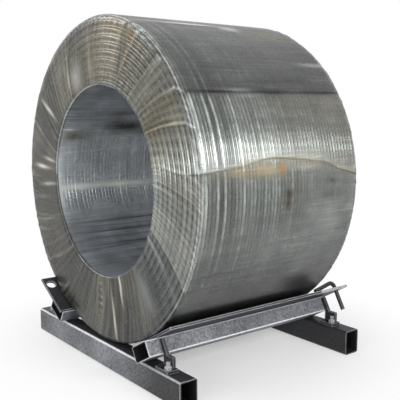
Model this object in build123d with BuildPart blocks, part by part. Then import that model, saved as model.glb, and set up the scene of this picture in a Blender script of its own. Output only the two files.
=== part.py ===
from build123d import *
import math
import os

os.makedirs("parts", exist_ok=True)

# Coil of cored wire in clear film, lying on a welded steel cradle. Millimetres.
# +X runs along the sleepers, +Y along the coil's axis to the rear, +Z up, floor at z = 0.

# Winding
wire_dia = 13.0
layers = 18
nest_angle = 60.0
turns_full = 47
turn_depth = 4.5
bore_dia = 592.0
coil_mid_y = -49.0

# Clear film round the coil
film_clear = 0.2
film_thick = 1.0
seat_gap = 0.3

# Cradle
cradle_angle = 30.0
plate_length = 740.0
plate_thick = 8.0
plate_in = 43.0
plate_out = 121.0
plate_stagger = 51.0
hole_dia = 32.0
hole_from_end = 23.0
hole_from_edge = 34.0
rail_width = 80.0
rail_height = 50.0
rail_wall = 4.0
rail_in = 43.0
rail_length = 734.0
rail_over = 15.0
tube_corner = 1.5
sleeper_height = 80.0
sleeper_width = 60.0
sleeper_wall = 5.0
sleeper_length = 866.0
sleeper_pitch = 677.0

# Brackets, bolts and pin
foot_reach = 58.0
foot_thick = 10.0
foot_front = 27.0
foot_rear = 12.0
gusset_reach = 45.0
gusset_thick = 10.0
gusset_rise = 30.0
strap = 15.0
bolt_dia = 12.0
bolt_across = 18.0
bolt_nut = 10.0
bolt_rise = 22.0
bolt_hole = 13.0
bolt_reach = 45.0
bolt_front = 14.0
pin_dia = 14.0
pin_below = 75.0
pin_above = 25.0
pin_handle = 95.0
pin_bend = 16.0

# Derived winding sizes: each layer lies in the grooves of the one under it
wire_r = wire_dia / 2
layer_step = wire_dia * math.sin(math.radians(nest_angle))
bore_r = bore_dia / 2
coil_r = bore_r + wire_dia + (layers - 1) * layer_step
half_width = turns_full * wire_dia / 2
outer_inset = (layers - 1) % 2 * wire_r
turns_outer = turns_full - (layers - 1) % 2
turn_bend = (wire_r**2 + turn_depth**2) / (2 * turn_depth)
turn_angle = math.asin(wire_r / turn_bend)

# Derived film sizes
film_in = film_clear
film_out = film_clear + film_thick
outer_corner = wire_r + outer_inset

# Derived cradle sizes, u along a plate from its line of contact, n away from the coil's axis
tilt_sin = math.sin(math.radians(cradle_angle))
tilt_cos = math.cos(math.radians(cradle_angle))
rest_r = coil_r + film_out + seat_gap
plate_width = plate_in + plate_out
plate_mid = (plate_out - plate_in) / 2
rail_out = rail_width - rail_in
rail_mid = rail_width / 2 - rail_in
rail_radius = tube_corner * rail_wall
rail_depth = plate_thick + rail_height
rail_round = rail_radius * (tilt_sin + tilt_cos - 1)
axis_drop = rest_r * tilt_cos + rail_in * tilt_sin + rail_depth * tilt_cos - rail_round
axis_z = sleeper_height + seat_gap + axis_drop
sleeper_radius = tube_corner * sleeper_wall
sleeper_front_y = -sleeper_pitch / 2
sleeper_rear_y = sleeper_pitch / 2
rail_rear_y = sleeper_front_y - sleeper_width / 2 - rail_over + rail_length
plate_rear_right = (plate_length + plate_stagger) / 2
plate_rear_left = plate_rear_right - plate_stagger
hole_u = plate_out - hole_from_edge
foot_top = sleeper_height + foot_thick
foot_width = foot_front + foot_rear
foot_mid = (foot_rear - foot_front) / 2
gusset_top = foot_top + gusset_rise
gusset_mid = foot_rear - gusset_thick / 2

coil_plane = Plane(origin=(0, coil_mid_y, axis_z), x_dir=(1, 0, 0), z_dir=(0, 0, 1))
coil_axis = Axis((0, coil_mid_y, axis_z), (0, 1, 0))

RIGHT = 1
LEFT = -1
FRONT = -1
REAR = 1


def tilted(side, y):
    # Square to the coil's axis, with local x along the plate and local y toward the axis.
    return Plane(origin=(0, y, axis_z), x_dir=(tilt_cos, 0, side * tilt_sin), z_dir=(0, -1, 0))


def spot(side, u, n):
    # The x and z of a point at u along the plate and n under its top face.
    x = rest_r * tilt_sin + u * tilt_cos + n * tilt_sin
    z = axis_z - rest_r * tilt_cos + u * tilt_sin - n * tilt_cos
    return side * x, z


def end_points(end):
    # Corner and crest points of the wound end, from the bore out, as (start, crest, stop) arcs.
    face = end * half_width
    root = end * (half_width - wire_r)
    arcs = []
    for layer in range(0, layers, 2):
        r = bore_r + wire_r + layer * layer_step
        arcs.append(((r - wire_r, root), (r, face), (r + wire_r, root)))
    return arcs


def wound_end(end):
    # Every second layer stands out by half a wire, and the layers between lie level with its root.
    arcs = end_points(end)
    last = None
    for start, crest, stop in arcs:
        if last is not None:
            Line(last, start)
        ThreePointArc(start, crest, stop)
        last = stop
    if outer_inset > 0:
        bend_r = coil_r - wire_r
        root = end * (half_width - wire_r)
        shoulder = end * (half_width - wire_dia)
        bend_mid = wire_r * math.sqrt(0.5)
        Line(last, (bend_r, root))
        ThreePointArc((bend_r, root), (bend_r + bend_mid, shoulder + end * bend_mid), (coil_r, shoulder))


def turn_point(crest, out, y, angle):
    # A point on a turn's round back, at this angle from its crest. out is 1 outside and -1 in the bore.
    return crest - out * turn_bend * (1 - math.cos(angle)), y + turn_bend * math.sin(angle)


def turns_along(crest, out, count):
    # A row of turns along the coil. The wound ends close the first turn and the last.
    for number in range(count):
        y = (number - (count - 1) / 2) * wire_dia
        first = 0 if number == 0 else -turn_angle
        last = 0 if number == count - 1 else turn_angle
        angles = (first, (first + last) / 2, last)
        ThreePointArc(*[turn_point(crest, out, y, angle) for angle in angles])


def film_ring(grow, mode):
    # A ring that wraps the coil at this distance, with rounded shoulders.
    inner = bore_r - grow
    outer = coil_r + grow
    with BuildSketch(coil_plane) as ring:
        with Locations(((inner + outer) / 2, 0)):
            Rectangle(outer - inner, 2 * (half_width + grow))
        fillet(ring.vertices().group_by(Axis.X)[0], wire_r + grow)
        fillet(ring.vertices().group_by(Axis.X)[-1], outer_corner + grow)
    revolve(ring.sketch, axis=coil_axis, mode=mode)


def rail(side):
    # A box tube under the plate, one lower edge on the sleepers.
    with BuildSketch(tilted(side, rail_rear_y)) as section:
        with Locations((side * rail_mid, -(rest_r + plate_thick + rail_height / 2))):
            RectangleRounded(rail_width, rail_height, rail_radius)
            RectangleRounded(
                rail_width - 2 * rail_wall,
                rail_height - 2 * rail_wall,
                rail_radius - rail_wall,
                mode=Mode.SUBTRACT,
            )
    extrude(section.sketch, amount=rail_length)


def sleeper(y):
    with BuildSketch(Plane.YZ.offset(-sleeper_length / 2)) as section:
        with Locations((y, sleeper_height / 2)):
            RectangleRounded(sleeper_width, sleeper_height, sleeper_radius)
            RectangleRounded(
                sleeper_width - 2 * sleeper_wall,
                sleeper_height - 2 * sleeper_wall,
                sleeper_radius - sleeper_wall,
                mode=Mode.SUBTRACT,
            )
    extrude(section.sketch, amount=sleeper_length)
    for side in (LEFT, RIGHT):
        with Locations((bolt_x(side), y - bolt_front, sleeper_height)):
            Cylinder(bolt_hole / 2, 2 * sleeper_wall + foot_thick, mode=Mode.SUBTRACT)


def hole_plane(side, rear):
    # On the plate's top face over its hole, with local z toward the coil.
    y = rear - hole_from_end if side == RIGHT else rear - plate_length + hole_from_end
    x, z = spot(side, hole_u, 0)
    return Plane(origin=(x, y, z), x_dir=(0, 1, 0), z_dir=(-side * tilt_sin, 0, tilt_cos))


def bearing_plate(side, rear):
    with BuildSketch(tilted(side, rear)) as section:
        with Locations((side * plate_mid, -(rest_r + plate_thick / 2))):
            Rectangle(plate_width, plate_thick)
    extrude(section.sketch, amount=plate_length)
    with Locations(hole_plane(side, rear)):
        Cylinder(hole_dia / 2, 4 * plate_thick, mode=Mode.SUBTRACT)


def foot_inner(side):
    # The foot starts under the rail's outer lower edge.
    return spot(side, rail_out, rail_depth)[0]


def bolt_x(side):
    return foot_inner(side) + side * bolt_reach


def strap_edge(side, z):
    # The point at this height on the strap's outer edge, which runs along the rail's outer side.
    u = rail_out + strap
    n = (axis_z - rest_r * tilt_cos + u * tilt_sin - z) / tilt_cos
    return spot(side, u, n)


def bracket(side, y):
    # A foot on the sleeper and a gusset that stands on it and lies against the rail's outer side.
    start = foot_inner(side)
    stop = start + side * gusset_reach
    with Locations((start + side * foot_reach / 2, y + foot_mid, sleeper_height + foot_thick / 2)):
        Box(foot_reach, foot_width, foot_thick)
    corner = spot(side, rail_out, rail_depth)
    low = spot(side, rail_out, rail_depth - rail_radius)
    high = spot(side, rail_out, plate_thick + rail_radius)
    strap_top = spot(side, rail_out + strap, plate_thick + rail_radius)
    knee = strap_edge(side, gusset_top)
    with BuildSketch(Plane(origin=(0, y + gusset_mid, 0), x_dir=(1, 0, 0), z_dir=(0, -1, 0))) as gusset:
        with BuildLine():
            Polyline(
                corner,
                low,
                high,
                strap_top,
                knee,
                (stop, gusset_top),
                (stop, sleeper_height),
                (start, sleeper_height),
                close=True,
            )
        make_face()
    extrude(gusset.sketch, amount=gusset_thick / 2, both=True)
    with Locations((bolt_x(side), y - bolt_front, foot_top)):
        Cylinder(bolt_hole / 2, 4 * foot_thick, mode=Mode.SUBTRACT)


with BuildPart() as wire_coil:
    with BuildSketch(coil_plane):
        with BuildLine():
            wound_end(FRONT)
            turns_along(coil_r, 1, turns_outer)
            wound_end(REAR)
            turns_along(bore_r, -1, turns_full)
        make_face()
    revolve(axis=coil_axis)
wire_coil.part.label = "wire_coil"
export_step(wire_coil.part, "parts/wire_coil.step")

with BuildPart() as film_wrap:
    film_ring(film_out, Mode.ADD)
    film_ring(film_in, Mode.SUBTRACT)
film_wrap.part.label = "film_wrap"
export_step(film_wrap.part, "parts/film_wrap.step")

with BuildPart() as sleeper_front:
    sleeper(sleeper_front_y)
sleeper_front.part.label = "sleeper_front"
export_step(sleeper_front.part, "parts/sleeper_front.step")

with BuildPart() as sleeper_rear:
    sleeper(sleeper_rear_y)
sleeper_rear.part.label = "sleeper_rear"
export_step(sleeper_rear.part, "parts/sleeper_rear.step")

with BuildPart() as rail_left:
    rail(LEFT)
rail_left.part.label = "rail_left"
export_step(rail_left.part, "parts/rail_left.step")

with BuildPart() as rail_right:
    rail(RIGHT)
rail_right.part.label = "rail_right"
export_step(rail_right.part, "parts/rail_right.step")

with BuildPart() as bearing_plate_left:
    bearing_plate(LEFT, plate_rear_left)
bearing_plate_left.part.label = "bearing_plate_left"
export_step(bearing_plate_left.part, "parts/bearing_plate_left.step")

with BuildPart() as bearing_plate_right:
    bearing_plate(RIGHT, plate_rear_right)
bearing_plate_right.part.label = "bearing_plate_right"
export_step(bearing_plate_right.part, "parts/bearing_plate_right.step")

with BuildPart() as bracket_front_left:
    bracket(LEFT, sleeper_front_y)
bracket_front_left.part.label = "bracket_front_left"
export_step(bracket_front_left.part, "parts/bracket_front_left.step")

with BuildPart() as bracket_front_right:
    bracket(RIGHT, sleeper_front_y)
bracket_front_right.part.label = "bracket_front_right"
export_step(bracket_front_right.part, "parts/bracket_front_right.step")

with BuildPart() as bracket_rear_left:
    bracket(LEFT, sleeper_rear_y)
bracket_rear_left.part.label = "bracket_rear_left"
export_step(bracket_rear_left.part, "parts/bracket_rear_left.step")

with BuildPart() as bracket_rear_right:
    bracket(RIGHT, sleeper_rear_y)
bracket_rear_right.part.label = "bracket_rear_right"
export_step(bracket_rear_right.part, "parts/bracket_rear_right.step")

# One stud for each bracket, its hexagon nut flat on the foot
with BuildPart() as foot_bolts:
    for y in (sleeper_front_y, sleeper_rear_y):
        for side in (LEFT, RIGHT):
            with BuildSketch(Plane(origin=(bolt_x(side), y - bolt_front, foot_top))):
                RegularPolygon(bolt_across / 2, 6, major_radius=False)
            extrude(amount=bolt_nut)
            with BuildSketch(Plane(origin=(bolt_x(side), y - bolt_front, sleeper_height - sleeper_wall))):
                Circle(bolt_dia / 2)
            extrude(amount=sleeper_wall + foot_thick + bolt_rise)
foot_bolts.part.label = "foot_bolts"
export_step(foot_bolts.part, "parts/foot_bolts.step")

# A bent bar: one leg stands through the hole at the rear of the right plate, the other lies back on the plate
with BuildPart() as drop_pin:
    pin_spot = hole_plane(RIGHT, plate_rear_right)
    pin_plane = Plane(origin=pin_spot.origin, x_dir=(0, 1, 0), z_dir=-pin_spot.y_dir)
    with BuildLine(pin_plane) as pin_path:
        FilletPolyline((0, -pin_below), (0, pin_above), (-pin_handle, pin_dia / 2 + seat_gap), radius=pin_bend)
    with BuildSketch(Plane(origin=pin_path.line @ 0, z_dir=pin_path.line % 0)):
        Circle(pin_dia / 2)
    sweep(path=pin_path.line)
drop_pin.part.label = "drop_pin"
export_step(drop_pin.part, "parts/drop_pin.step")
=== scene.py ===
import math
from collections import namedtuple

import bpy
import numpy as np
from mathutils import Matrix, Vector


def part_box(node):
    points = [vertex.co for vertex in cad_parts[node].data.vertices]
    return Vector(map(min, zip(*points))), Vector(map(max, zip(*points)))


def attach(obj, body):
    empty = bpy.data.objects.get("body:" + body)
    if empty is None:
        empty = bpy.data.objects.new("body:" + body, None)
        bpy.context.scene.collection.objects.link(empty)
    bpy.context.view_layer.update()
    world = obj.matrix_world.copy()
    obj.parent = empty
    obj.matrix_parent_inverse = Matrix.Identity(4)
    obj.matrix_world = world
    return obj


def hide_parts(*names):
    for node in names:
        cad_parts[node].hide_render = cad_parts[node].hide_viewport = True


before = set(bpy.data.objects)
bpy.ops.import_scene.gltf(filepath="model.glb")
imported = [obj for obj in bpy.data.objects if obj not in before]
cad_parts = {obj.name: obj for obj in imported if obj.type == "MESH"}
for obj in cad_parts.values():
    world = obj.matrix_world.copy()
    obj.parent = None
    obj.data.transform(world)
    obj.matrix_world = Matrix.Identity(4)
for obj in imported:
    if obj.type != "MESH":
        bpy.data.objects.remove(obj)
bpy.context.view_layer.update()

# Sizes in metres, as in the part's source
WIRE = 0.013
WIRE_R = WIRE / 2
LAYERS = 18
LAYER_STEP = WIRE * math.sin(math.radians(60))
BORE_R = 0.296
TILT = math.radians(30)
PLATE_GAP = 0.0015
PLATE_T = 0.008
RAIL_W = 0.080
RAIL_H = 0.050
RAIL_WALL = 0.004
RAIL_MID = -0.003
SLEEPER_H = 0.080
SLEEPER_W = 0.060
SLEEPER_WALL = 0.005
SLEEPER_Y = 0.3385

# The coil's size and place, from the frame
coil_low, coil_high = (Vector(corner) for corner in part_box("wire_coil"))
COIL_R = (coil_high.x - coil_low.x) / 2
HALF = (coil_high.y - coil_low.y) / 2
MID_Y = (coil_low.y + coil_high.y) / 2
AXIS_Z = (coil_low.z + coil_high.z) / 2

FULL_TURN = 2 * math.pi
# The parts of the coil's section, in the order in which its outline runs
FRONT, OUTSIDE, REAR, BORE = range(4)


# Material helpers
def grey(level):
    return (level, level, level)


def new_material(name):
    mat = bpy.data.materials.new(name)
    mat.use_nodes = True
    tree = mat.node_tree
    return mat, tree, tree.nodes["Principled BSDF"]


def add(tree, kind, **values):
    node = tree.nodes.new(kind)
    for key, value in values.items():
        setattr(node, key, value)
    return node


def fill(tree, socket, value):
    """Link a socket to a node's output, or set it to a number or a colour."""
    if hasattr(value, "is_output"):
        tree.links.new(value, socket)
    elif isinstance(value, (int, float)):
        socket.default_value = value
    else:
        socket.default_value = (*value, 1)


def attribute(tree, name):
    return add(tree, "ShaderNodeAttribute", attribute_name=name).outputs["Fac"]


def coords(tree, scale=(1, 1, 1)):
    source = add(tree, "ShaderNodeTexCoord")
    mapping = add(tree, "ShaderNodeMapping")
    mapping.inputs["Scale"].default_value = scale
    tree.links.new(source.outputs["Object"], mapping.inputs["Vector"])
    return mapping.outputs["Vector"]


def split(tree, vector):
    """The X, Y and Z of a vector."""
    node = add(tree, "ShaderNodeSeparateXYZ")
    tree.links.new(vector, node.inputs["Vector"])
    return node.outputs


def place_parts(tree):
    return split(tree, add(tree, "ShaderNodeTexCoord").outputs["Object"])


def noise_tex(tree, vector, scale, detail, rough=0.55):
    node = add(tree, "ShaderNodeTexNoise")
    node.inputs["Scale"].default_value = scale
    node.inputs["Detail"].default_value = detail
    node.inputs["Roughness"].default_value = rough
    tree.links.new(vector, node.inputs["Vector"])
    return node.outputs["Fac"]


def ramp(tree, value, stops):
    node = add(tree, "ShaderNodeValToRGB")
    elements = node.color_ramp.elements
    while len(elements) < len(stops):
        elements.new(0.5)
    for element, (place, colour) in zip(elements, stops):
        element.position = place
        element.color = (*colour, 1)
    tree.links.new(value, node.inputs["Fac"])
    return node.outputs["Color"]


def grey_ramp(tree, value, *stops):
    return ramp(tree, value, [(place, grey(level)) for place, level in stops])


def mix(tree, share, first, second, blend="MIX"):
    node = add(tree, "ShaderNodeMix", data_type="RGBA", blend_type=blend)
    for key, value in (("Factor", share), ("A", first), ("B", second)):
        fill(tree, node.inputs[key], value)
    return node.outputs["Result"]


def times(tree, first, second):
    """Two colours multiplied."""
    return mix(tree, 1.0, first, second, "MULTIPLY")


def calc(tree, operation, first, second=0.0, clamp=False):
    node = add(tree, "ShaderNodeMath", operation=operation, use_clamp=clamp)
    for socket, value in zip(node.inputs, (first, second)):
        fill(tree, socket, value)
    return node.outputs["Value"]


def map_range(tree, value, span, results):
    """A smooth step between two results as the value crosses its span."""
    node = add(tree, "ShaderNodeMapRange", interpolation_type="SMOOTHSTEP")
    for key, number in zip(("From Min", "From Max", "To Min", "To Max"), (*span, *results)):
        node.inputs[key].default_value = number
    tree.links.new(value, node.inputs["Value"])
    return node.outputs["Result"]


def bump(tree, shader, height, strength, distance):
    node = add(tree, "ShaderNodeBump")
    node.inputs["Distance"].default_value = distance
    fill(tree, node.inputs["Strength"], strength)
    tree.links.new(height, node.inputs["Height"])
    tree.links.new(node.outputs["Normal"], shader.inputs["Normal"])
    return node.outputs["Normal"]


def mix_surface(tree, share, first, second):
    """Show the first shader, and the second by this share."""
    node = add(tree, "ShaderNodeMixShader")
    tree.links.new(share, node.inputs["Fac"])
    tree.links.new(first, node.inputs[1])
    tree.links.new(second, node.inputs[2])
    tree.links.new(node.outputs["Shader"], tree.nodes["Material Output"].inputs["Surface"])


# Meshes
def grid_mesh(name, points, looks, closed):
    """A mesh from rows of points round the coil, with a float attribute for each look on the same grid."""
    rows, columns = points.shape[:2]
    mesh = bpy.data.meshes.new(name)
    index = np.arange(rows * columns).reshape(rows, columns)
    above = np.roll(index, -1, axis=0)
    beside = np.roll(index, -1, axis=1)
    across = np.roll(above, -1, axis=1)
    faces = np.stack([index, beside, across, above], axis=-1)
    faces = faces[: rows if closed else rows - 1].reshape(-1, 4)
    mesh.from_pydata(points.reshape(-1, 3).tolist(), [], faces.tolist())
    for key, values in looks.items():
        layer = mesh.attributes.new(key, "FLOAT", "POINT")
        layer.data.foreach_set("value", np.ascontiguousarray(values, np.float32).reshape(-1))
    mesh.polygons.foreach_set("use_smooth", [True] * len(mesh.polygons))
    mesh.update()
    obj = bpy.data.objects.new(name, mesh)
    bpy.context.scene.collection.objects.link(obj)
    return obj


def round_axis(radius, y, theta):
    """A row of points round the coil's axis, y from the coil's middle."""
    along = np.broadcast_to(MID_Y + y, theta.shape)
    return np.stack([radius * np.cos(theta), along, AXIS_Z + radius * np.sin(theta)], axis=-1)


def assign(obj, mat):
    obj.data.materials.clear()
    obj.data.materials.append(mat)


# The wound wire
WIRE_SEED = 41
WIRE_COLUMNS = 160
# Angles on a turn's back, from its crest: on the ends a proud layer, a sunk one and the outermost one
PROUD_ANGLES = (-90, -50, 0, 50, 90)
SUNK_ANGLES = (-46, 0, 46)
SHOULDER_ANGLES = (-46, 0, 50)
# The same for a turn on the outside or in the bore, where the last turn has no groove after it
ROW_ANGLES = (-40, 0, 40, 90)
# How far turns sink, lift and wander sideways, then the shares of their wander and depth on the ends
SINK = 0.0009
LIFT = 0.0005
WANDER = 0.0011
END_WANDER = 0.5
END_DEPTH = 1.6
# The tint of turns on the outside where the strongest light streaks lie, counted from the front end: painted
# highlights, with one turn painted dark between them
PAINTED_STREAK_TURNS = {0: 1.0, 1: 0.97, 4: 0.93, 5: 0.05, 6: 0.94, 11: 0.93}
# The wire's colour by its tint; only the turns with painted highlights reach the last stop
TINT_TOP = 0.9
WIRE_COLOURS = (
    (0.0, (0.045, 0.048, 0.046)),
    (0.1, (0.115, 0.125, 0.118)),
    (TINT_TOP, (0.385, 0.415, 0.394)),
    (1.0, (0.70, 0.75, 0.71)),
)
# The grooves between turns are painted toward this near black: painted shade
GROOVE_SHADE_COLOUR = (0.016, 0.017, 0.016)
RUST_COLOUR = (0.24, 0.165, 0.085)
RUST_SHARE = 0.16

WireRow = namedtuple("WireRow", "radius y turn part depth")


def wave(rng, theta, orders):
    """A smooth closed random wave in theta, about -1 to 1."""
    total = np.zeros_like(theta)
    size = 0.0
    for order in orders:
        weight = 1 / order
        total += weight * np.cos(order * theta + rng.uniform(0, FULL_TURN)) * rng.uniform(0.5, 1.0)
        size += weight * 0.75
    return total / size


def wire_turns():
    """Each turn in the section's outline: its middle, the way its crest looks, its angles and its part."""
    ends = []
    for layer in range(LAYERS):
        proud = layer % 2 == 0
        angles = PROUD_ANGLES if proud else SUNK_ANGLES
        if layer == LAYERS - 1:
            angles = SHOULDER_ANGLES
        ends.append((BORE_R + WIRE_R + layer * LAYER_STEP, HALF - (WIRE_R if proud else WIRE), angles))
    turns = [(radius, -y, (0, -1), angles, FRONT) for radius, y, angles in ends]
    outer = round(2 * (HALF - WIRE_R) / WIRE)
    for i in range(outer):
        angles = ROW_ANGLES if i < outer - 1 else ROW_ANGLES[:-1]
        turns.append((COIL_R - WIRE_R, i * WIRE - (HALF - WIRE), (1, 0), angles, OUTSIDE))
    turns += [(radius, y, (0, 1), angles[::-1], REAR) for radius, y, angles in ends[::-1]]
    inner = round(2 * HALF / WIRE)
    for i in range(inner):
        angles = ROW_ANGLES if i < inner - 1 else ROW_ANGLES[:-1]
        turns.append((BORE_R + WIRE_R, HALF - WIRE_R - i * WIRE, (-1, 0), [-a for a in angles], BORE))
    return turns


def wire_profile():
    """The section's outline, with depth from 0 on a crest to 1 in a groove."""
    rows = []
    for turn, (radius, y, (crest_radius, crest_y), angles, part) in enumerate(wire_turns()):
        for angle in angles:
            up = WIRE_R * math.cos(math.radians(angle))
            aside = WIRE_R * math.sin(math.radians(angle))
            row_radius = radius + crest_radius * up + abs(crest_y) * aside
            row_y = y + crest_y * up + abs(crest_radius) * aside
            rows.append(WireRow(row_radius, row_y, turn, part, abs(angle) / 90))
    return rows


def build_wire():
    rng = np.random.default_rng(WIRE_SEED)
    # Columns run backwards, so that the faces look outward
    theta = np.linspace(0, FULL_TURN, WIRE_COLUMNS, endpoint=False)[::-1]
    rows = wire_profile()
    turns = rows[-1].turn + 1
    out = np.zeros((turns, WIRE_COLUMNS))
    along = np.zeros((turns, WIRE_COLUMNS))
    tint = np.zeros((turns, WIRE_COLUMNS))
    batch = 0.0
    for turn in range(turns):
        sink = rng.uniform(0.0, 1.0)
        batch = 0.6 * batch + 0.5 * rng.uniform(-1, 1)
        lift = np.clip(wave(rng, theta, (1, 2, 3, 5)), -1, 1)
        out[turn] = LIFT * lift - SINK * sink
        along[turn] = WANDER * wave(rng, theta, (1, 2, 3, 4))
        own = 0.20 * rng.uniform(-1, 1)
        tint[turn] = 0.5 + 0.34 * batch + own + 0.10 * wave(rng, theta, (1, 2, 4, 7))
    tint = np.clip(tint, 0.0, TINT_TOP)
    # Painted highlight streaks: these turns of the outside take their tint from the table
    for turn, value in PAINTED_STREAK_TURNS.items():
        tint[LAYERS + turn] = value
    points = []
    for row in rows:
        radius = row.radius
        y = row.y
        if row.part in (OUTSIDE, BORE):
            radius = radius + (out[row.turn] if row.part == OUTSIDE else -out[row.turn])
            y = y + along[row.turn]
        else:
            radius = radius + END_WANDER * along[row.turn]
            y = y + END_DEPTH * (out[row.turn] if row.part == REAR else -out[row.turn])
        points.append(round_axis(radius, y, theta))
    looks = {
        "tint": [tint[row.turn] for row in rows],
        "groove": [np.full(WIRE_COLUMNS, row.depth**2) for row in rows],
    }
    return grid_mesh("wound_wire", np.array(points), looks, closed=True)


def wire_material():
    mat, tree, shader = new_material("cored_wire_steel")
    fine = noise_tex(tree, coords(tree, (18, 60, 18)), 2.2, 5)
    broad = noise_tex(tree, coords(tree), 4.5, 3)
    base = ramp(tree, attribute(tree, "tint"), WIRE_COLOURS)
    base = times(tree, base, ramp(tree, fine, [(0.35, (0.70, 0.70, 0.69)), (0.68, grey(1.12))]))
    # Painted shade in the grooves between turns
    base = mix(tree, attribute(tree, "groove"), base, GROOVE_SHADE_COLOUR)
    rust = calc(tree, "MULTIPLY", grey_ramp(tree, broad, (0.56, 0.0), (0.74, 1.0)), RUST_SHARE)
    base = mix(tree, rust, base, RUST_COLOUR)
    tree.links.new(base, shader.inputs["Base Color"])
    shader.inputs["Metallic"].default_value = 0.92
    rough = grey_ramp(tree, fine, (0.3, 0.20), (0.75, 0.32))
    tree.links.new(rough, shader.inputs["Roughness"])
    bump(tree, shader, noise_tex(tree, coords(tree, (1, 3, 1)), 90, 3), 0.12, 0.001)
    return mat


# The stretch film
FILM_SEED = 17
FILM_COLUMNS = 1060
BORE_ROWS = 12
END_ROWS = 15
OUTSIDE_ROWS = 24
# Rows in the bore lie closer together toward its mouths
BORE_CROWDING = 1.5
# The film's distance from the wire. At the seam each edge runs past the middle, one a little over the other.
FILM_GAP = 0.0011
SEAM_LAP = 0.012
SEAM_STEP = 0.0004
# Strips round the coil, how far they lean on the ends and along the coil, and the folds in them
STRIPS = 26
END_LEAN = 0.16
SIDE_LEAN = 0.05
FOLDS = 150
FOLD_FADE = 0.15
# Heights of the film's relief
END_STRIP_RISE = 0.0030
OUTSIDE_STRIP_RISE = 0.0006
BORE_STRIP_RISE = 0.0007
PLEAT_RISE = 0.0004
END_LIFT = 0.0012
FOLD_RISE = 0.0016
FOLD_SINK = -0.0006
UPPER_LAYER = 0.0014
BAND_LAYER = 0.0007
# Limits of the looks: how much the film hides, and how light it is
VEIL_LIMITS = (0.02, 0.93)
TONE_LIMITS = (0.012, 0.85)
# Angles here are in degrees over the level of the axis, 0 on the coil's right side and 90 on top.
# The lower edge of the outermost film layer on the right side, at places from the front end to the rear end
TAIL_PLACES = (-0.30, -0.25, -0.18, -0.13, -0.095, -0.04, 0.02, 0.09, 0.13, 0.155, 0.18, 0.21, 0.25, 0.30)
TAIL_DEGREES = (7.2, 7.7, 8.4, 9.2, 10.2, 10.8, 10.2, 9.4, 8.6, 8.7, 7.8, 6.1, 4.8, 3.4)
TAIL_LEVEL = np.mean(TAIL_DEGREES)
# How wide round that edge the mesh's columns follow it, and how far it rises on the front end to the bore
TAIL_REACH = 16
END_RISE = 10.0
# Half the width over which that edge softens, and half the width of its hem
EDGE_SOFT = 0.2
HEM_HALF = 0.42
# The crease along the coil where that layer starts, darkened by a painted shadow of that edge
CREASE = 32.2
# Zones round the coil: where each starts, is full, starts to fade and is gone
CLEAR_ZONE = (-64, -34, 16, 34)
GOLD_ZONE = (40, 70, 95, 125)
LOW_ZONE = (-176, -130, -47, -8)
MIST_ZONE = (-176, -130, -18, 2)
UPPER_ZONE = (CREASE - 0.3, CREASE + 0.6, 120, 150)
ROOF_ZONE = (20, 60, 136, 160)
BED_ZONE = (-160, -142, -30, 0)
# Stains, marks and painted highlights on the outside: angle, place along the coil, their half sizes, then
# warmth, veil and tone
MARKS = (
    (7.0, -0.085, 2.8, 0.065, 1.30, 0.72, 0.26),
    (6.8, -0.165, 1.6, 0.05, 1.05, 0.60, 0.30),
    (7.6, 0.06, 1.6, 0.06, 0.7, 0.40, 0.34),
    (6.9, -0.0127, 2.6, 0.016, 1.9, 0.93, 0.15),
    (-1.6, 0.0127, 2.2, 0.016, 1.2, 0.93, 0.012),
    (1.8, 0.185, 0.9, 0.020, 0.1, 0.75, 0.07),
    (-3.0, 0.180, 1.2, 0.025, 0.1, 0.65, 0.09),
    (-4.6, 0.0127, 2.2, 0.006, 1.2, 0.70, 0.03),
    (63.0, 0.17, 5.0, 0.09, 1.1, 0.70, 0.10),
    # These two pale marks near the top are painted highlights
    (71.0, -0.10, 0.9, 0.15, 0.35, 0.92, 0.80),
    (68.3, 0.055, 2.2, 0.030, 0.2, 0.92, 0.80),
    (33.4, -0.11, 0.6, 0.035, 0.0, 0.60, 0.22),
    (31.0, -0.08, 0.8, 0.040, 0.0, 0.50, 0.26),
    (45.0, 0.25, 0.9, 0.05, 0.1, 0.60, 0.40),
)
# The same for the front end, with the place from 0 at the bore to 1 outside
END_MARKS = (
    (113.0, 0.25, 6.0, 0.26, 0.10, 0.92, 0.29),
    (97.0, 0.32, 2.2, 0.36, 0.20, 0.75, 0.25),
    (88.6, 0.25, 0.9, 0.32, 0.20, 0.90, 0.025),
    (84.0, 0.55, 15.0, 0.50, 1.05, 0.55, 0.15),
    (79.0, 0.60, 6.0, 0.30, 1.25, 0.42, 0.24),
    (71.0, 0.45, 1.8, 0.50, 0.50, 0.80, 0.07),
    # These pale marks on the left and lower right of the end are painted glints
    (147.0, 0.55, 1.0, 0.24, 0.20, 0.85, 0.62),
    (172.0, 0.25, 0.8, 0.16, 0.10, 0.80, 0.55),
    (177.0, 0.50, 0.9, 0.24, 0.10, 0.90, 0.75),
    (-174.0, 0.28, 0.9, 0.22, 0.15, 0.80, 0.50),
    (-69.5, 0.10, 0.8, 0.14, 0.10, 0.90, 0.62),
    (-70.5, 0.30, 0.7, 0.12, 0.10, 0.85, 0.55),
    (-79.5, 0.62, 0.7, 0.32, 0.30, 0.85, 0.50),
    (-91.5, 0.35, 2.6, 0.42, 0.90, 0.15, 0.20),
    (-50.0, 0.35, 3.2, 0.38, -0.30, 0.85, 0.155),
    (-43.0, 0.50, 2.6, 0.34, -0.10, 0.80, 0.045),
    (-62.0, 0.60, 4.0, 0.35, 0.10, 0.80, 0.06),
)
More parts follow.
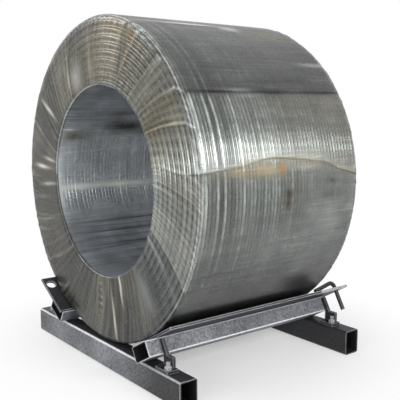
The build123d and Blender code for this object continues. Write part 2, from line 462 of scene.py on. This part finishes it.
# The same for the bore, with the place along the coil
BORE_MARKS = (
    (147.0, -0.04, 5.5, 0.11, -0.3, 0.90, 0.016),
    (152.0, 0.09, 3.0, 0.10, -0.3, 0.80, 0.03),
    (127.0, 0.00, 4.0, 0.05, 0.60, 0.85, 0.03),
    (138.5, -0.08, 0.9, 0.10, -0.3, 0.75, 0.28),
    (154.0, -0.25, 5.0, 0.05, 0.50, 0.80, 0.13),
    (149.0, -0.275, 0.9, 0.02, 0.00, 0.90, 0.60),
    # A painted highlight: the pale band along the bore's side
    (-170.5, -0.10, 2.1, 0.26, 0.25, 0.70, 0.88),
    (-175.0, -0.300, 26.0, 0.012, -0.3, 0.85, 0.80),
    (-145.0, 0.0, 0.8, 0.20, -0.5, 0.80, 0.06),
    (-137.0, -0.05, 0.7, 0.16, -0.5, 0.80, 0.07),
    (-126.0, 0.05, 0.9, 0.20, -0.5, 0.80, 0.06),
    (-119.0, -0.05, 0.8, 0.15, -0.5, 0.70, 0.50),
)
# Tints of the film: plain, cold, warm and rusty, and the golden patches in what is warm
PLAIN_TINT = (0.96, 1.0, 0.96)
COLD_TINT = (0.90, 0.98, 1.10)
WARM_TINT = (1.14, 1.03, 0.70)
RUST_TINT = (1.60, 0.86, 0.40)
GOLD_PATCHES = ((0.50, (1, 1, 1)), (0.70, (1.18, 1.0, 0.66)))
# The largest share of the gloss on the film
GLOSS_LIMIT = 0.045

FilmRow = namedtuple("FilmRow", "radius y out_radius out_y place part")
Strips = namedtuple("Strips", "edges slope haze shade hue pleats")
Spot = namedtuple("Spot", "inside slope haze shade hue pleats light_lap dark_lap")
Fold = namedtuple("Fold", "at width height dark lean start stop")


def smooth(low, high, value):
    """A smooth step from 0 at low to 1 at high."""
    t = np.clip((value - low) / (high - low), 0, 1)
    return t * t * (3 - 2 * t)


def zone(value, start, full, fade, gone):
    return smooth(start, full, value) * (1 - smooth(fade, gone, value))


def bell(value, middle, half):
    return np.exp(-(((value - middle) / half) ** 2))


def corner_rows(middle_radius, middle_y, size, angles, place):
    """Rows round one of the section's corners, at these angles from the end's own direction."""
    for angle in angles:
        out_radius = math.sin(math.radians(angle))
        out_y = math.cos(math.radians(angle))
        yield middle_radius + size * out_radius, middle_y + size * out_y, out_radius, out_y, place


def film_profile():
    """The film's section from its seam in the bore round to the seam; place is 0 at the bore, 1 outside."""
    bore = BORE_R - FILM_GAP
    outer = COIL_R + FILM_GAP
    face = HALF + FILM_GAP
    mouth = WIRE_R + FILM_GAP
    shoulder = WIRE + FILM_GAP
    side = list(corner_rows(bore + mouth, face - mouth, mouth, (-75, -45, -15), 0.0))
    for radius in np.linspace(bore + mouth, outer - shoulder, END_ROWS):
        side.append((radius, face, 0.0, 1.0, (radius - bore) / (outer - bore)))
    side += corner_rows(outer - shoulder, face - shoulder, shoulder, (15, 30, 45, 60, 75), 1.0)
    depth = face - mouth + SEAM_LAP
    inward = face - mouth - depth * np.linspace(0, 1, BORE_ROWS) ** BORE_CROWDING
    half = face - shoulder
    rows = [FilmRow(bore, -y, -1.0, 0.0, 0.0, BORE) for y in inward[::-1]]
    rows += [FilmRow(r, -y, out_r, -out_y, place, FRONT) for r, y, out_r, out_y, place in side]
    rows += [FilmRow(outer, y, 1.0, 0.0, 1.0, OUTSIDE) for y in np.linspace(-half, half, OUTSIDE_ROWS)]
    rows += [FilmRow(*values, REAR) for values in side[::-1]]
    rows += [FilmRow(bore - SEAM_STEP, y, -1.0, 0.0, 0.0, BORE) for y in inward]
    return rows


def make_strips(rng):
    """The strips of film wound through the eye: their edges in radians and their own random values."""
    edges = np.sort((np.arange(STRIPS) + rng.uniform(-0.36, 0.36, STRIPS)) * FULL_TURN / STRIPS)
    slope = rng.uniform(-1, 1, STRIPS)
    haze = rng.uniform(0, 1, STRIPS)
    shade = rng.uniform(0, 1, STRIPS)
    hue = rng.uniform(0, 1, STRIPS)
    pleats = rng.integers(3, 7, STRIPS)
    return Strips(edges, slope, haze, shade, hue, pleats)


def make_folds(rng):
    """Folds on the ends: angle and width in radians, and the places between which each one runs."""
    at = rng.uniform(0, FULL_TURN, FOLDS)
    width = rng.uniform(0.006, 0.020, FOLDS)
    height = rng.uniform(0.1, 1.0, FOLDS) ** 1.8
    dark = rng.uniform(0, 1, FOLDS) < 0.5
    lean = rng.normal(0, 0.06, FOLDS)
    start = rng.uniform(-0.4, 0.7, FOLDS)
    stop = start + rng.uniform(0.3, 1.1, FOLDS)
    return [Fold(*values) for values in zip(at, width, height, dark, lean, start, stop)]


def spot_in_strip(strips, turn):
    """How far each point lies across its strip, from 0 to 1, with that strip's values and its laps."""
    index = np.searchsorted(strips.edges, turn, side="right") - 1
    start = np.where(index < 0, strips.edges[-1] - FULL_TURN, strips.edges[index])
    stop = np.where(index + 1 < STRIPS, strips.edges[(index + 1) % STRIPS], strips.edges[0] + FULL_TURN)
    inside = (turn - start) / (stop - start)
    own = (values[index] for values in strips[1:])
    return Spot(inside, *own, bell(inside, 0.05, 0.03), bell(inside, 0.97, 0.03))


def tail_edge(place):
    """The edge of the outermost layer at this place along the coil, in degrees."""
    return np.interp(place, TAIL_PLACES, TAIL_DEGREES)


def edge_parts(degrees, edge, fade_over, fade_under):
    """1 over the film's edge, then the painted highlight that fades out over it and the painted shadow that
    fades out under it, and its hem.
    """
    over = smooth(edge - EDGE_SOFT, edge + EDGE_SOFT, degrees)
    glow = over * np.exp(-np.clip(degrees - edge, 0, None) / fade_over)
    shadow = (1 - over) * np.exp(-np.clip(edge - degrees, 0, None) / fade_under)
    return over, glow, shadow, bell(degrees, edge - EDGE_SOFT, HEM_HALF)


def summed(features):
    """Warmth, veil, tone and lines, from what each feature adds to them where its share is 1."""
    return [sum(share * added[k] for share, *added in features) for k in range(4)]


def marked(looks, marks, degrees, place):
    """Warmth, veil and tone with these marks laid over them, each fading out from its middle."""
    for angle, middle, wide, long, *targets in marks:
        apart = (degrees - angle + 180) % 360 - 180
        share = bell(apart, 0, wide) * bell(place, middle, long)
        looks = [value + (target - value) * share for value, target in zip(looks, targets)]
    return looks


def fold_shapes(folds, turn, place):
    """The folds that reach this place: how strong each one is at each point, and whether it is dark."""
    for fold in folds:
        begun = np.clip((place - fold.start) / FOLD_FADE, 0, 1)
        left = np.clip((fold.stop - place) / FOLD_FADE, 0, 1)
        reach = begun * left
        if reach > 0:
            away = (turn - fold.at - fold.lean * (place - 0.5) + math.pi) % FULL_TURN - math.pi
            yield bell(away, 0, fold.width) * reach * fold.height, fold.dark


def end_look(row, degrees, turn, spot, folds):
    """Pleated film on an end, seen through best on the right side of the front end, with painted light and
    shade laid on its tone.
    """
    clear = zone(degrees, *CLEAR_ZONE) if row.part == FRONT else np.zeros_like(degrees)
    gold = zone(degrees, *GOLD_ZONE)
    rim = max(0.0, 2 * abs(row.out_radius * row.out_y) - 0.9) / 0.1
    pleat = np.cos(FULL_TURN * spot.pleats * spot.inside) ** 3
    # Painted shade: the end's film is darker away from 50 degrees round it, with a painted highlight near 47
    # degrees
    dim = 0.5 - 0.5 * np.cos(np.radians(degrees - 50))
    height = END_STRIP_RISE * spot.slope * (spot.inside - 0.5) + PLEAT_RISE * pleat + END_LIFT
    veil = 0.44 + 0.40 * spot.haze + 0.14 * pleat + 0.32 * dim + 0.08 * gold
    tone = 0.058 + 0.12 * spot.shade**2 + 0.09 * spot.light_lap - 0.05 * spot.dark_lap + 0.025 * pleat
    tone = tone * (1 - 0.78 * dim) + 0.05 * bell(degrees, 47, 16)
    # Raised folds get a painted highlight and sunk folds painted shade; pleat crests are painted a little
    # lighter too
    for shape, dark in fold_shapes(folds, turn, row.place):
        height = height + (FOLD_SINK if dark else FOLD_RISE) * shape
        tone = tone + (-0.05 if dark else 0.08) * shape
        veil = veil + 0.25 * shape
    # A painted highlight along the end's rounded rims, strongest on the right and top, and the clear zone's
    # film painted lighter on the right side of the front end
    veil = veil * (1 - 0.42 * clear) + 0.30 * rim
    tone = tone * (1 + 3.0 * clear * smooth(-52, -8, degrees))
    tone = tone + 0.30 * rim * (0.35 + 0.65 * smooth(-80, 20, degrees))
    warmth = (0.45 + 0.60 * spot.hue) * (1 - 0.5 * bell(degrees, -90, 40)) - 0.55 * clear + 0.50 * gold
    warmth = warmth * (1 - smooth(0.86, 0.98, row.place)) * smooth(0.0, 0.08, row.place)
    lines = 0.55 - 0.25 * clear
    if row.part == FRONT:
        edge = tail_edge(row.y) + END_RISE * (1 - row.place) ** 3
        reach = smooth(0.10, 0.35, row.place)
        # A painted highlight over the edge of the outer layer and a painted shadow under it
        glow, shadow, hem = (reach * part for part in edge_parts(degrees, edge, 3.0, 13.0)[1:])
        veil = veil * (1 - 0.45 * glow) * (1 - 0.55 * shadow) + 0.35 * hem
        tone = tone + 0.45 * glow * (1 - hem) - 0.10 * shadow - 0.10 * hem
        warmth = warmth * (1 - 0.8 * glow) + 0.35 * shadow
        lines = lines * (1 - 0.7 * glow) * (1 - 0.9 * shadow)
        warmth, veil, tone = marked((warmth, veil, tone), END_MARKS, degrees, row.place)
    return height, warmth, veil, tone, lines


def outside_look(row, degrees, spot):
    """Tight film on the outside, with the wavy edge of its outermost layer on the right side, a painted
    highlight over that edge, a painted shadow under it, and painted shade along the crease and low on the
    coil.
    """
    tail = tail_edge(row.y)
    front = smooth(0.25, -0.30, row.y)
    upper = zone(degrees, *UPPER_ZONE)
    below_crease = 1 - smooth(CREASE - 0.6, CREASE, degrees)
    over, glow, shadow, hem = edge_parts(degrees, tail, 3.0 + 4.0 * front, 5.0)
    band = over * below_crease
    glow = glow * below_crease * (0.5 + 0.6 * front)
    hem = hem * (0.75 + 0.25 * math.sin(23 * row.y + 0.4)) * (1 - 0.4 * front)
    # Painted shadow of the layer's edge along the crease
    crease = bell(degrees, CREASE, 1.0) * (0.72 + 0.28 * math.sin(31 * row.y + 1.0))
    # Painted shade: the film low on the coil is darker and hides more of the wire
    low = zone(degrees, *LOW_ZONE)
    mist = zone(degrees, *MIST_ZONE) * (1 - low)
    smear = smooth(0.02, 0.12, row.y) * (1 - smooth(tail - 1, tail, degrees)) * (1 - low)
    far = smooth(120, 150, np.abs(degrees))
    warmth, veil, tone, lines = summed((
        (np.ones_like(degrees), -0.05, 0.09, 0.17, 0.35),
        (upper, 0, 0.63, -0.10, 0.35),
        # Painted highlight over the wavy edge, and a painted shadow under it
        (glow, 0, 0.22, 0, 0),
        (glow * (1 - hem), 0, 0, 0.42, 0),
        (band * (1 - front), 0.4, 0.50, -0.03, 0),
        (shadow, 0.35, 0.42, 0, 0),
        (hem, 0, 0.9, -0.12, 0),
        (hem * smooth(-0.25, -0.05, row.y), 1.1, 0, 0, 0),
        (crease, 0, 0.6, -0.12, 0),
        (low, 0, 0.84, -0.155, 0.35),
        (mist, 0, 0.45, 0, 0),
        (smear, 0, 0.36, 0, 0),
        (far, 0.4, 0.20, 0, 0.25),
        (far * spot.haze, 0, 0.10, 0, 0),
    ))
    height = OUTSIDE_STRIP_RISE * spot.slope * (spot.inside - 0.5) + UPPER_LAYER * upper + BAND_LAYER * band
    return height, *marked((warmth, veil, tone), MARKS, degrees, row.y), lines


def bore_look(row, degrees, spot):
    """Cold grey film in the bore, folded on its roof and its bed."""
    roof = zone(degrees, *ROOF_ZONE)
    bed = zone(degrees, *BED_ZONE)
    warmth, veil, tone, lines = summed((
        (np.ones_like(degrees), -0.8, 0.34, 0.63, 0.15),
        (roof, 0, 0.44, -0.41, 0.65),
        (bed, 0, 0.44, -0.35, 0.55),
        (spot.light_lap, 0, 0.10, 0, 0),
        (spot.dark_lap, 0, 0, -0.08, 0),
    ))
    height = BORE_STRIP_RISE * spot.slope * (spot.inside - 0.5)
    return height, *marked((warmth, veil, tone), BORE_MARKS, degrees, row.y), lines


def build_film():
    rng = np.random.default_rng(FILM_SEED)
    strips = make_strips(rng)
    folds = make_folds(rng)
    # Columns run backwards, so that the faces look outward
    even = np.linspace(-math.pi, math.pi, FILM_COLUMNS, endpoint=False)[::-1]
    near_edge = bell(np.degrees(even), TAIL_LEVEL, TAIL_REACH)
    points = []
    looks = {"milk": [], "tone": [], "warm": [], "lines": []}
    for row in film_profile():
        theta = even + math.radians(tail_edge(row.y) - TAIL_LEVEL) * row.place**4 * near_edge
        degrees = np.degrees(theta)
        across = row.y / HALF if row.part in (OUTSIDE, BORE) else row.out_y
        turn = (theta + END_LEAN * row.place + SIDE_LEAN * across) % FULL_TURN
        spot = spot_in_strip(strips, turn)
        if row.part == OUTSIDE:
            height, warmth, veil, tone, lines = outside_look(row, degrees, spot)
        elif row.part == BORE:
            height, warmth, veil, tone, lines = bore_look(row, degrees, spot)
        else:
            height, warmth, veil, tone, lines = end_look(row, degrees, turn, spot, folds)
        points.append(round_axis(row.radius + height * row.out_radius, row.y + height * row.out_y, theta))
        looks["milk"].append(np.clip(veil, *VEIL_LIMITS))
        looks["tone"].append(np.clip(tone, *TONE_LIMITS))
        looks["warm"].append(warmth)
        looks["lines"].append(lines)
    return grid_mesh("film_skin", np.array(points), looks, closed=False)


def wrapped(tree, around, along):
    """Texture coordinates that run round the coil's axis and along the film's strips."""
    place = place_parts(tree)
    flat = add(tree, "ShaderNodeCombineXYZ")
    tree.links.new(place["X"], flat.inputs["X"])
    tree.links.new(calc(tree, "SUBTRACT", place["Z"], AXIS_Z), flat.inputs["Z"])
    radius = add(tree, "ShaderNodeVectorMath", operation="LENGTH")
    tree.links.new(flat.outputs["Vector"], radius.inputs[0])
    unit = add(tree, "ShaderNodeVectorMath", operation="NORMALIZE")
    tree.links.new(flat.outputs["Vector"], unit.inputs[0])
    turned = add(tree, "ShaderNodeVectorMath", operation="SCALE")
    turned.inputs["Scale"].default_value = around
    tree.links.new(unit.outputs["Vector"], turned.inputs[0])
    reach = calc(tree, "ADD", radius.outputs["Value"], place["Y"])
    lift = add(tree, "ShaderNodeCombineXYZ")
    tree.links.new(calc(tree, "MULTIPLY", reach, along), lift.inputs["Y"])
    total = add(tree, "ShaderNodeVectorMath", operation="ADD")
    tree.links.new(turned.outputs["Vector"], total.inputs[0])
    tree.links.new(lift.outputs["Vector"], total.inputs[1])
    return total.outputs["Vector"]


def film_tint(tree, warm):
    """The film's hue: cold under 0, warm to 1 and rusty over 1."""
    warm_share = calc(tree, "MAXIMUM", warm, 0.0)
    cold_share = calc(tree, "MAXIMUM", calc(tree, "MULTIPLY", warm, -1.0), 0.0)
    rust_share = calc(tree, "MAXIMUM", calc(tree, "SUBTRACT", warm, 1.0), 0.0)
    tint = mix(tree, warm_share, PLAIN_TINT, WARM_TINT)
    tint = mix(tree, cold_share, tint, COLD_TINT)
    tint = mix(tree, rust_share, tint, RUST_TINT)
    gold = ramp(tree, noise_tex(tree, coords(tree), 3.1, 3), GOLD_PATCHES)
    return mix(tree, warm_share, tint, times(tree, tint, gold))


def film_material():
    mat, tree, shader = new_material("clear_stretch_film")
    lines = attribute(tree, "lines")
    cloud = noise_tex(tree, coords(tree), 9, 5)
    wide = noise_tex(tree, wrapped(tree, 34, 4), 1.0, 3)
    fine = noise_tex(tree, wrapped(tree, 120, 5), 1.0, 3)
    level = calc(tree, "MULTIPLY", attribute(tree, "tone"), grey_ramp(tree, cloud, (0.3, 0.75), (0.7, 1.25)))
    streaks = grey_ramp(tree, wide, (0.33, 0.45), (0.67, 1.55))
    threads = grey_ramp(tree, fine, (0.34, 0.45), (0.46, 1.0), (0.60, 1.05), (0.72, 2.2))
    pattern = calc(tree, "MULTIPLY", streaks, threads)
    level = calc(tree, "MULTIPLY", level, mix(tree, lines, grey(1.0), pattern))
    colour = times(tree, film_tint(tree, attribute(tree, "warm")), level)
    tree.links.new(colour, shader.inputs["Base Color"])
    shader.inputs["Roughness"].default_value = 0.30
    shader.inputs["IOR"].default_value = 1.45
    shader.inputs["Specular IOR Level"].default_value = 0.2
    cover = calc(tree, "MULTIPLY", attribute(tree, "milk"), grey_ramp(tree, wide, (0.3, 1.2), (0.7, 0.75)))
    cover = calc(tree, "MULTIPLY", cover, grey_ramp(tree, cloud, (0.3, 0.85), (0.7, 1.1)), clamp=True)
    tree.links.new(cover, shader.inputs["Alpha"])
    normal = bump(tree, shader, fine, calc(tree, "MULTIPLY", lines, 0.3), 0.0012)
    gloss = add(tree, "ShaderNodeBsdfGlossy")
    gloss.inputs["Color"].default_value = (1, 1, 1, 1)
    gloss.inputs["Roughness"].default_value = 0.20
    tree.links.new(normal, gloss.inputs["Normal"])
    fresnel = add(tree, "ShaderNodeFresnel")
    fresnel.inputs["IOR"].default_value = 1.20
    share = calc(tree, "MINIMUM", fresnel.outputs["Fac"], GLOSS_LIMIT)
    mix_surface(tree, share, shader.outputs["BSDF"], gloss.outputs["BSDF"])
    return mat


# The cradle's paint
# The paint darkens along X between these places
DARKENING_X = (0.10, 0.36)
# Sharp edges are worn about as wide as this
EDGE_RADIUS = 0.005
# Faces that look up are painted toward this near black
TOP_DARK = (0.014, 0.014, 0.017)
# Painted shade inside the box tubes
HOLLOW_SHADE = (0.008, 0.008, 0.009)
# The patch on the right plate's outer edge that is painted light as a highlight
LIT_PATCH_Y = 0.33
LIT_PATCH_HALF = 0.06
LIT_PATCH_X = 0.335


def within(tree, value, middle, half):
    """1 where the value lies nearer to the middle than half, else 0."""
    away = calc(tree, "ABSOLUTE", calc(tree, "SUBTRACT", value, middle))
    return calc(tree, "LESS_THAN", away, half)


def along_plate(tree, across, up):
    """The parts of a place or a normal along the right bearing plate and square to it."""
    cos = math.cos(TILT)
    sin = math.sin(TILT)
    along = calc(tree, "ADD", calc(tree, "MULTIPLY", across, cos), calc(tree, "MULTIPLY", up, sin))
    square = calc(tree, "SUBTRACT", calc(tree, "MULTIPLY", up, cos), calc(tree, "MULTIPLY", across, sin))
    return along, square


def sleeper_inside(tree):
    """1 inside the box tube of a sleeper, where painted shade goes."""
    place = place_parts(tree)
    level = within(tree, place["Z"], SLEEPER_H / 2, (SLEEPER_H - SLEEPER_WALL) / 2)
    depth = calc(tree, "ABSOLUTE", place["Y"])
    return calc(tree, "MULTIPLY", level, within(tree, depth, SLEEPER_Y, (SLEEPER_W - SLEEPER_WALL) / 2))


def rail_inside(tree):
    """1 inside the box tube of a rail, where painted shade goes."""
    place = place_parts(tree)
    across = calc(tree, "ABSOLUTE", place["X"])
    along, square = along_plate(tree, across, calc(tree, "SUBTRACT", place["Z"], AXIS_Z))
    drop = COIL_R + PLATE_GAP + PLATE_T + RAIL_H / 2
    wide = within(tree, along, RAIL_MID, (RAIL_W - RAIL_WALL) / 2)
    return calc(tree, "MULTIPLY", wide, within(tree, square, -drop, (RAIL_H - RAIL_WALL) / 2))


def turned_share(tree, first, second):
    """1 where a normal lies midway between two square directions, 0 along either of them."""
    both = calc(tree, "ABSOLUTE", calc(tree, "MULTIPLY", first, second))
    return grey_ramp(tree, calc(tree, "MULTIPLY", both, 2.0), (0.45, 0.0), (0.75, 1.0))


def sleeper_corner(tree, normal):
    """1 on the rounded upper edges of a sleeper, painted light as wear and as a painted highlight."""
    upper = calc(tree, "GREATER_THAN", normal["Z"], 0.0)
    return calc(tree, "MULTIPLY", upper, turned_share(tree, normal["Y"], normal["Z"]))


def rail_corner(tree, normal):
    """1 on the rounded edges of a rail."""
    side = calc(tree, "SIGN", place_parts(tree)["X"])
    out = calc(tree, "MULTIPLY", normal["X"], side)
    return turned_share(tree, *along_plate(tree, out, normal["Z"]))


def lit_edge_patch(tree):
    """1 on the painted highlight patch beside the pin."""
    place = place_parts(tree)
    rear = within(tree, place["Y"], LIT_PATCH_Y, LIT_PATCH_HALF)
    return calc(tree, "MULTIPLY", rear, calc(tree, "GREATER_THAN", place["X"], LIT_PATCH_X))


def sharp_edges(tree, geometry):
    """1 along edges, where a rounded normal leaves the true one."""
    rounded = add(tree, "ShaderNodeBevel", samples=6)
    rounded.inputs["Radius"].default_value = EDGE_RADIUS
    agree = add(tree, "ShaderNodeVectorMath", operation="DOT_PRODUCT")
    tree.links.new(geometry.outputs["True Normal"], agree.inputs[0])
    tree.links.new(rounded.outputs["Normal"], agree.inputs[1])
    return grey_ramp(tree, agree.outputs["Value"], (0.90, 1.0), (0.99, 0.0))


def paint_material(name, low, high, speckle, worn_and_lit, top_dark, inside=None, far_x_level=1.0, corner=None, lit_patch=None):
    """Speckled paint between two colours, with wear on its edges, darker on faces that look up, painted
    highlights where given and painted shade inside a tube.
    """
    mat, tree, shader = new_material(name)
    broad = noise_tex(tree, coords(tree), 9, 5)
    grain = noise_tex(tree, coords(tree), 130, 3, 0.7)
    geometry = add(tree, "ShaderNodeNewGeometry")
    normal = split(tree, geometry.outputs["True Normal"])
    flecks = grey_ramp(tree, grain, (0.30, 1 - speckle), (0.50, 1.0), (0.70, 1 + 0.7 * speckle))
    base = times(tree, ramp(tree, broad, [(0.3, low), (0.7, high)]), flecks)
    # The paint darkens toward +X
    shade = map_range(tree, place_parts(tree)["X"], DARKENING_X, (1.0, far_x_level))
    base = times(tree, base, shade)
    # Faces that look up are painted darker
    facing_up = grey_ramp(tree, normal["Z"], (0.6, 0.0), (0.95, 1.0))
    base = mix(tree, calc(tree, "MULTIPLY", facing_up, top_dark), base, TOP_DARK)
    bare_and_lit = mix(tree, 0.6, worn_and_lit, times(tree, worn_and_lit, shade))
    patchy = grey_ramp(tree, broad, (0.30, 0.4), (0.55, 1.0))
    base = mix(tree, calc(tree, "MULTIPLY", sharp_edges(tree, geometry), patchy), base, bare_and_lit)
    # Rounded edges are painted light: wear, and on a sleeper's upper edges a painted highlight as well
    if corner is not None:
        grainy = grey_ramp(tree, grain, (0.3, 0.6), (0.5, 1.0))
        base = mix(tree, calc(tree, "MULTIPLY", corner(tree, normal), grainy), base, bare_and_lit)
    # A painted highlight on the right plate's outer edge
    if lit_patch is not None:
        grainy = grey_ramp(tree, grain, (0.35, 0.3), (0.5, 0.9))
        base = mix(tree, calc(tree, "MULTIPLY", lit_patch(tree), grainy), base, worn_and_lit)
    # Painted shade inside the tubes
    if inside is not None:
        base = mix(tree, inside(tree), base, HOLLOW_SHADE)
    tree.links.new(base, shader.inputs["Base Color"])
    shader.inputs["Metallic"].default_value = 0.1
    tree.links.new(grey_ramp(tree, grain, (0.3, 0.66), (0.7, 0.44)), shader.inputs["Roughness"])
    bump(tree, shader, grain, 0.2, 0.0006)
    return mat


def paint_cradle():
    rail_paint = paint_material(
        "pale_grey_paint",
        low=(0.092, 0.097, 0.106),
        high=(0.215, 0.222, 0.238),
        speckle=0.7,
        worn_and_lit=(0.74, 0.75, 0.78),
        top_dark=0.9,
        inside=rail_inside,
        corner=rail_corner,
    )
    grey_paint = paint_material(
        "worn_grey_paint",
        low=(0.085, 0.089, 0.097),
        high=(0.195, 0.203, 0.216),
        speckle=0.7,
        worn_and_lit=(0.62, 0.63, 0.66),
        top_dark=0.95,
        inside=sleeper_inside,
        far_x_level=0.12,
        corner=sleeper_corner,
    )
    dark_paint = paint_material(
        "dark_grey_paint",
        low=(0.006, 0.006, 0.007),
        high=(0.019, 0.020, 0.023),
        speckle=0.5,
        worn_and_lit=(0.20, 0.205, 0.22),
        top_dark=0.85,
        inside=sleeper_inside,
    )
    plate_paint = paint_material(
        "plate_paint",
        low=(0.006, 0.006, 0.007),
        high=(0.022, 0.023, 0.026),
        speckle=0.5,
        worn_and_lit=(0.40, 0.41, 0.44),
        top_dark=0.6,
        lit_patch=lit_edge_patch,
    )
    bolt_steel = paint_material(
        "dull_bolt_steel",
        low=(0.14, 0.14, 0.15),
        high=grey(0.30),
        speckle=0.4,
        worn_and_lit=grey(0.45),
        top_dark=0.0,
    )
    for name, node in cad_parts.items():
        if name.startswith("rail"):
            assign(node, rail_paint)
        elif name == "sleeper_front":
            assign(node, grey_paint)
        elif name.startswith("bearing_plate"):
            assign(node, plate_paint)
        elif name == "foot_bolts":
            assign(node, bolt_steel)
        elif name not in ("wire_coil", "film_wrap"):
            assign(node, dark_paint)


# The pieces
wire = build_wire()
assign(wire, wire_material())
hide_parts("wire_coil")
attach(wire, "root")

film = build_film()
assign(film, film_material())
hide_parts("film_wrap")
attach(film, "root")

paint_cradle()


# Stage, light and camera
FLOOR_HALF = 9.0
FLOOR_Z = -0.0006
# Round the part the floor shows its shadow, farther out it turns white
SHADOW_SPAN = (0.35, 0.95)
SHADOW_WHITE = 0.4
WORLD_LIGHT = 0.45
# Soft boxes: name, place, size and watts
SOFT_BOXES = (
    ("side_box", (2.4, -0.1, 1.36), (1.6, 0.5), 40),
    ("front_strip", (1.3, -3.0, 1.0), (2.4, 0.35), 42),
    ("left_box", (-2.2, -1.9, 2.2), (1.2, 1.2), 35),
    ("top_box", (-0.9, -0.3, 3.2), (0.7, 2.2), 18),
)
# The camera that was fitted to the photo: place, degrees down and round, lens and sensor in millimetres
CAMERA_PLACE = (1.841, -1.3965, AXIS_Z + 0.234)
CAMERA_DOWN = 7.913
CAMERA_ROUND = 52.085
CAMERA_LENS = 61.34
CAMERA_SENSOR = 36.0


def seen_rays(tree):
    """1 for rays that show the background, straight or by way of metal or film."""
    path = add(tree, "ShaderNodeLightPath").outputs
    seen = calc(tree, "ADD", path["Is Camera Ray"], path["Is Glossy Ray"], clamp=True)
    return calc(tree, "ADD", seen, path["Is Transmission Ray"], clamp=True)


def floor_material():
    mat, tree, shader = new_material("pale_floor")
    shader.inputs["Base Color"].default_value = (0.88, 0.88, 0.88, 1)
    shader.inputs["Roughness"].default_value = 0.9
    shader.inputs["Specular IOR Level"].default_value = 0.1
    white = add(tree, "ShaderNodeEmission")
    white.inputs["Strength"].default_value = 1.0
    distance = add(tree, "ShaderNodeVectorMath", operation="LENGTH")
    tree.links.new(add(tree, "ShaderNodeTexCoord").outputs["Object"], distance.inputs[0])
    far = map_range(tree, distance.outputs["Value"], SHADOW_SPAN, (SHADOW_WHITE, 1.0))
    share = calc(tree, "MULTIPLY", seen_rays(tree), far)
    mix_surface(tree, share, shader.outputs["BSDF"], white.outputs["Emission"])
    return mat


def floor_piece():
    corners = [(x * FLOOR_HALF, y * FLOOR_HALF, FLOOR_Z) for x, y in ((-1, -1), (1, -1), (1, 1), (-1, 1))]
    mesh = bpy.data.meshes.new("floor")
    mesh.from_pydata(corners, [], [(0, 1, 2, 3)])
    obj = bpy.data.objects.new("floor", mesh)
    bpy.context.scene.collection.objects.link(obj)
    assign(obj, floor_material())


def world_light():
    world = bpy.data.worlds.new("studio")
    world.use_nodes = True
    bpy.context.scene.world = world
    tree = world.node_tree
    back = tree.nodes["Background"]
    back.inputs["Color"].default_value = (1, 1, 1, 1)
    strength = map_range(tree, seen_rays(tree), (0.0, 1.0), (WORLD_LIGHT, 1.0))
    tree.links.new(strength, back.inputs["Strength"])


def soft_box(name, place, size, power):
    data = bpy.data.lights.new(name, "AREA")
    data.shape = "RECTANGLE"
    data.size, data.size_y = size
    data.energy = power
    obj = bpy.data.objects.new(name, data)
    obj.location = place
    toward = Vector((0, MID_Y, AXIS_Z)) - Vector(place)
    obj.rotation_euler = toward.to_track_quat("-Z", "Y").to_euler()
    bpy.context.scene.collection.objects.link(obj)


def camera():
    data = bpy.data.cameras.new("camera")
    data.sensor_fit = "HORIZONTAL"
    data.sensor_width = CAMERA_SENSOR
    data.lens = CAMERA_LENS
    obj = bpy.data.objects.new("camera", data)
    obj.location = CAMERA_PLACE
    obj.rotation_euler = (math.radians(90 - CAMERA_DOWN), 0, math.radians(CAMERA_ROUND))
    bpy.context.scene.collection.objects.link(obj)
    bpy.context.scene.camera = obj


floor_piece()
world_light()
for box in SOFT_BOXES:
    soft_box(*box)
camera()
bpy.context.scene.view_settings.view_transform = "Standard"
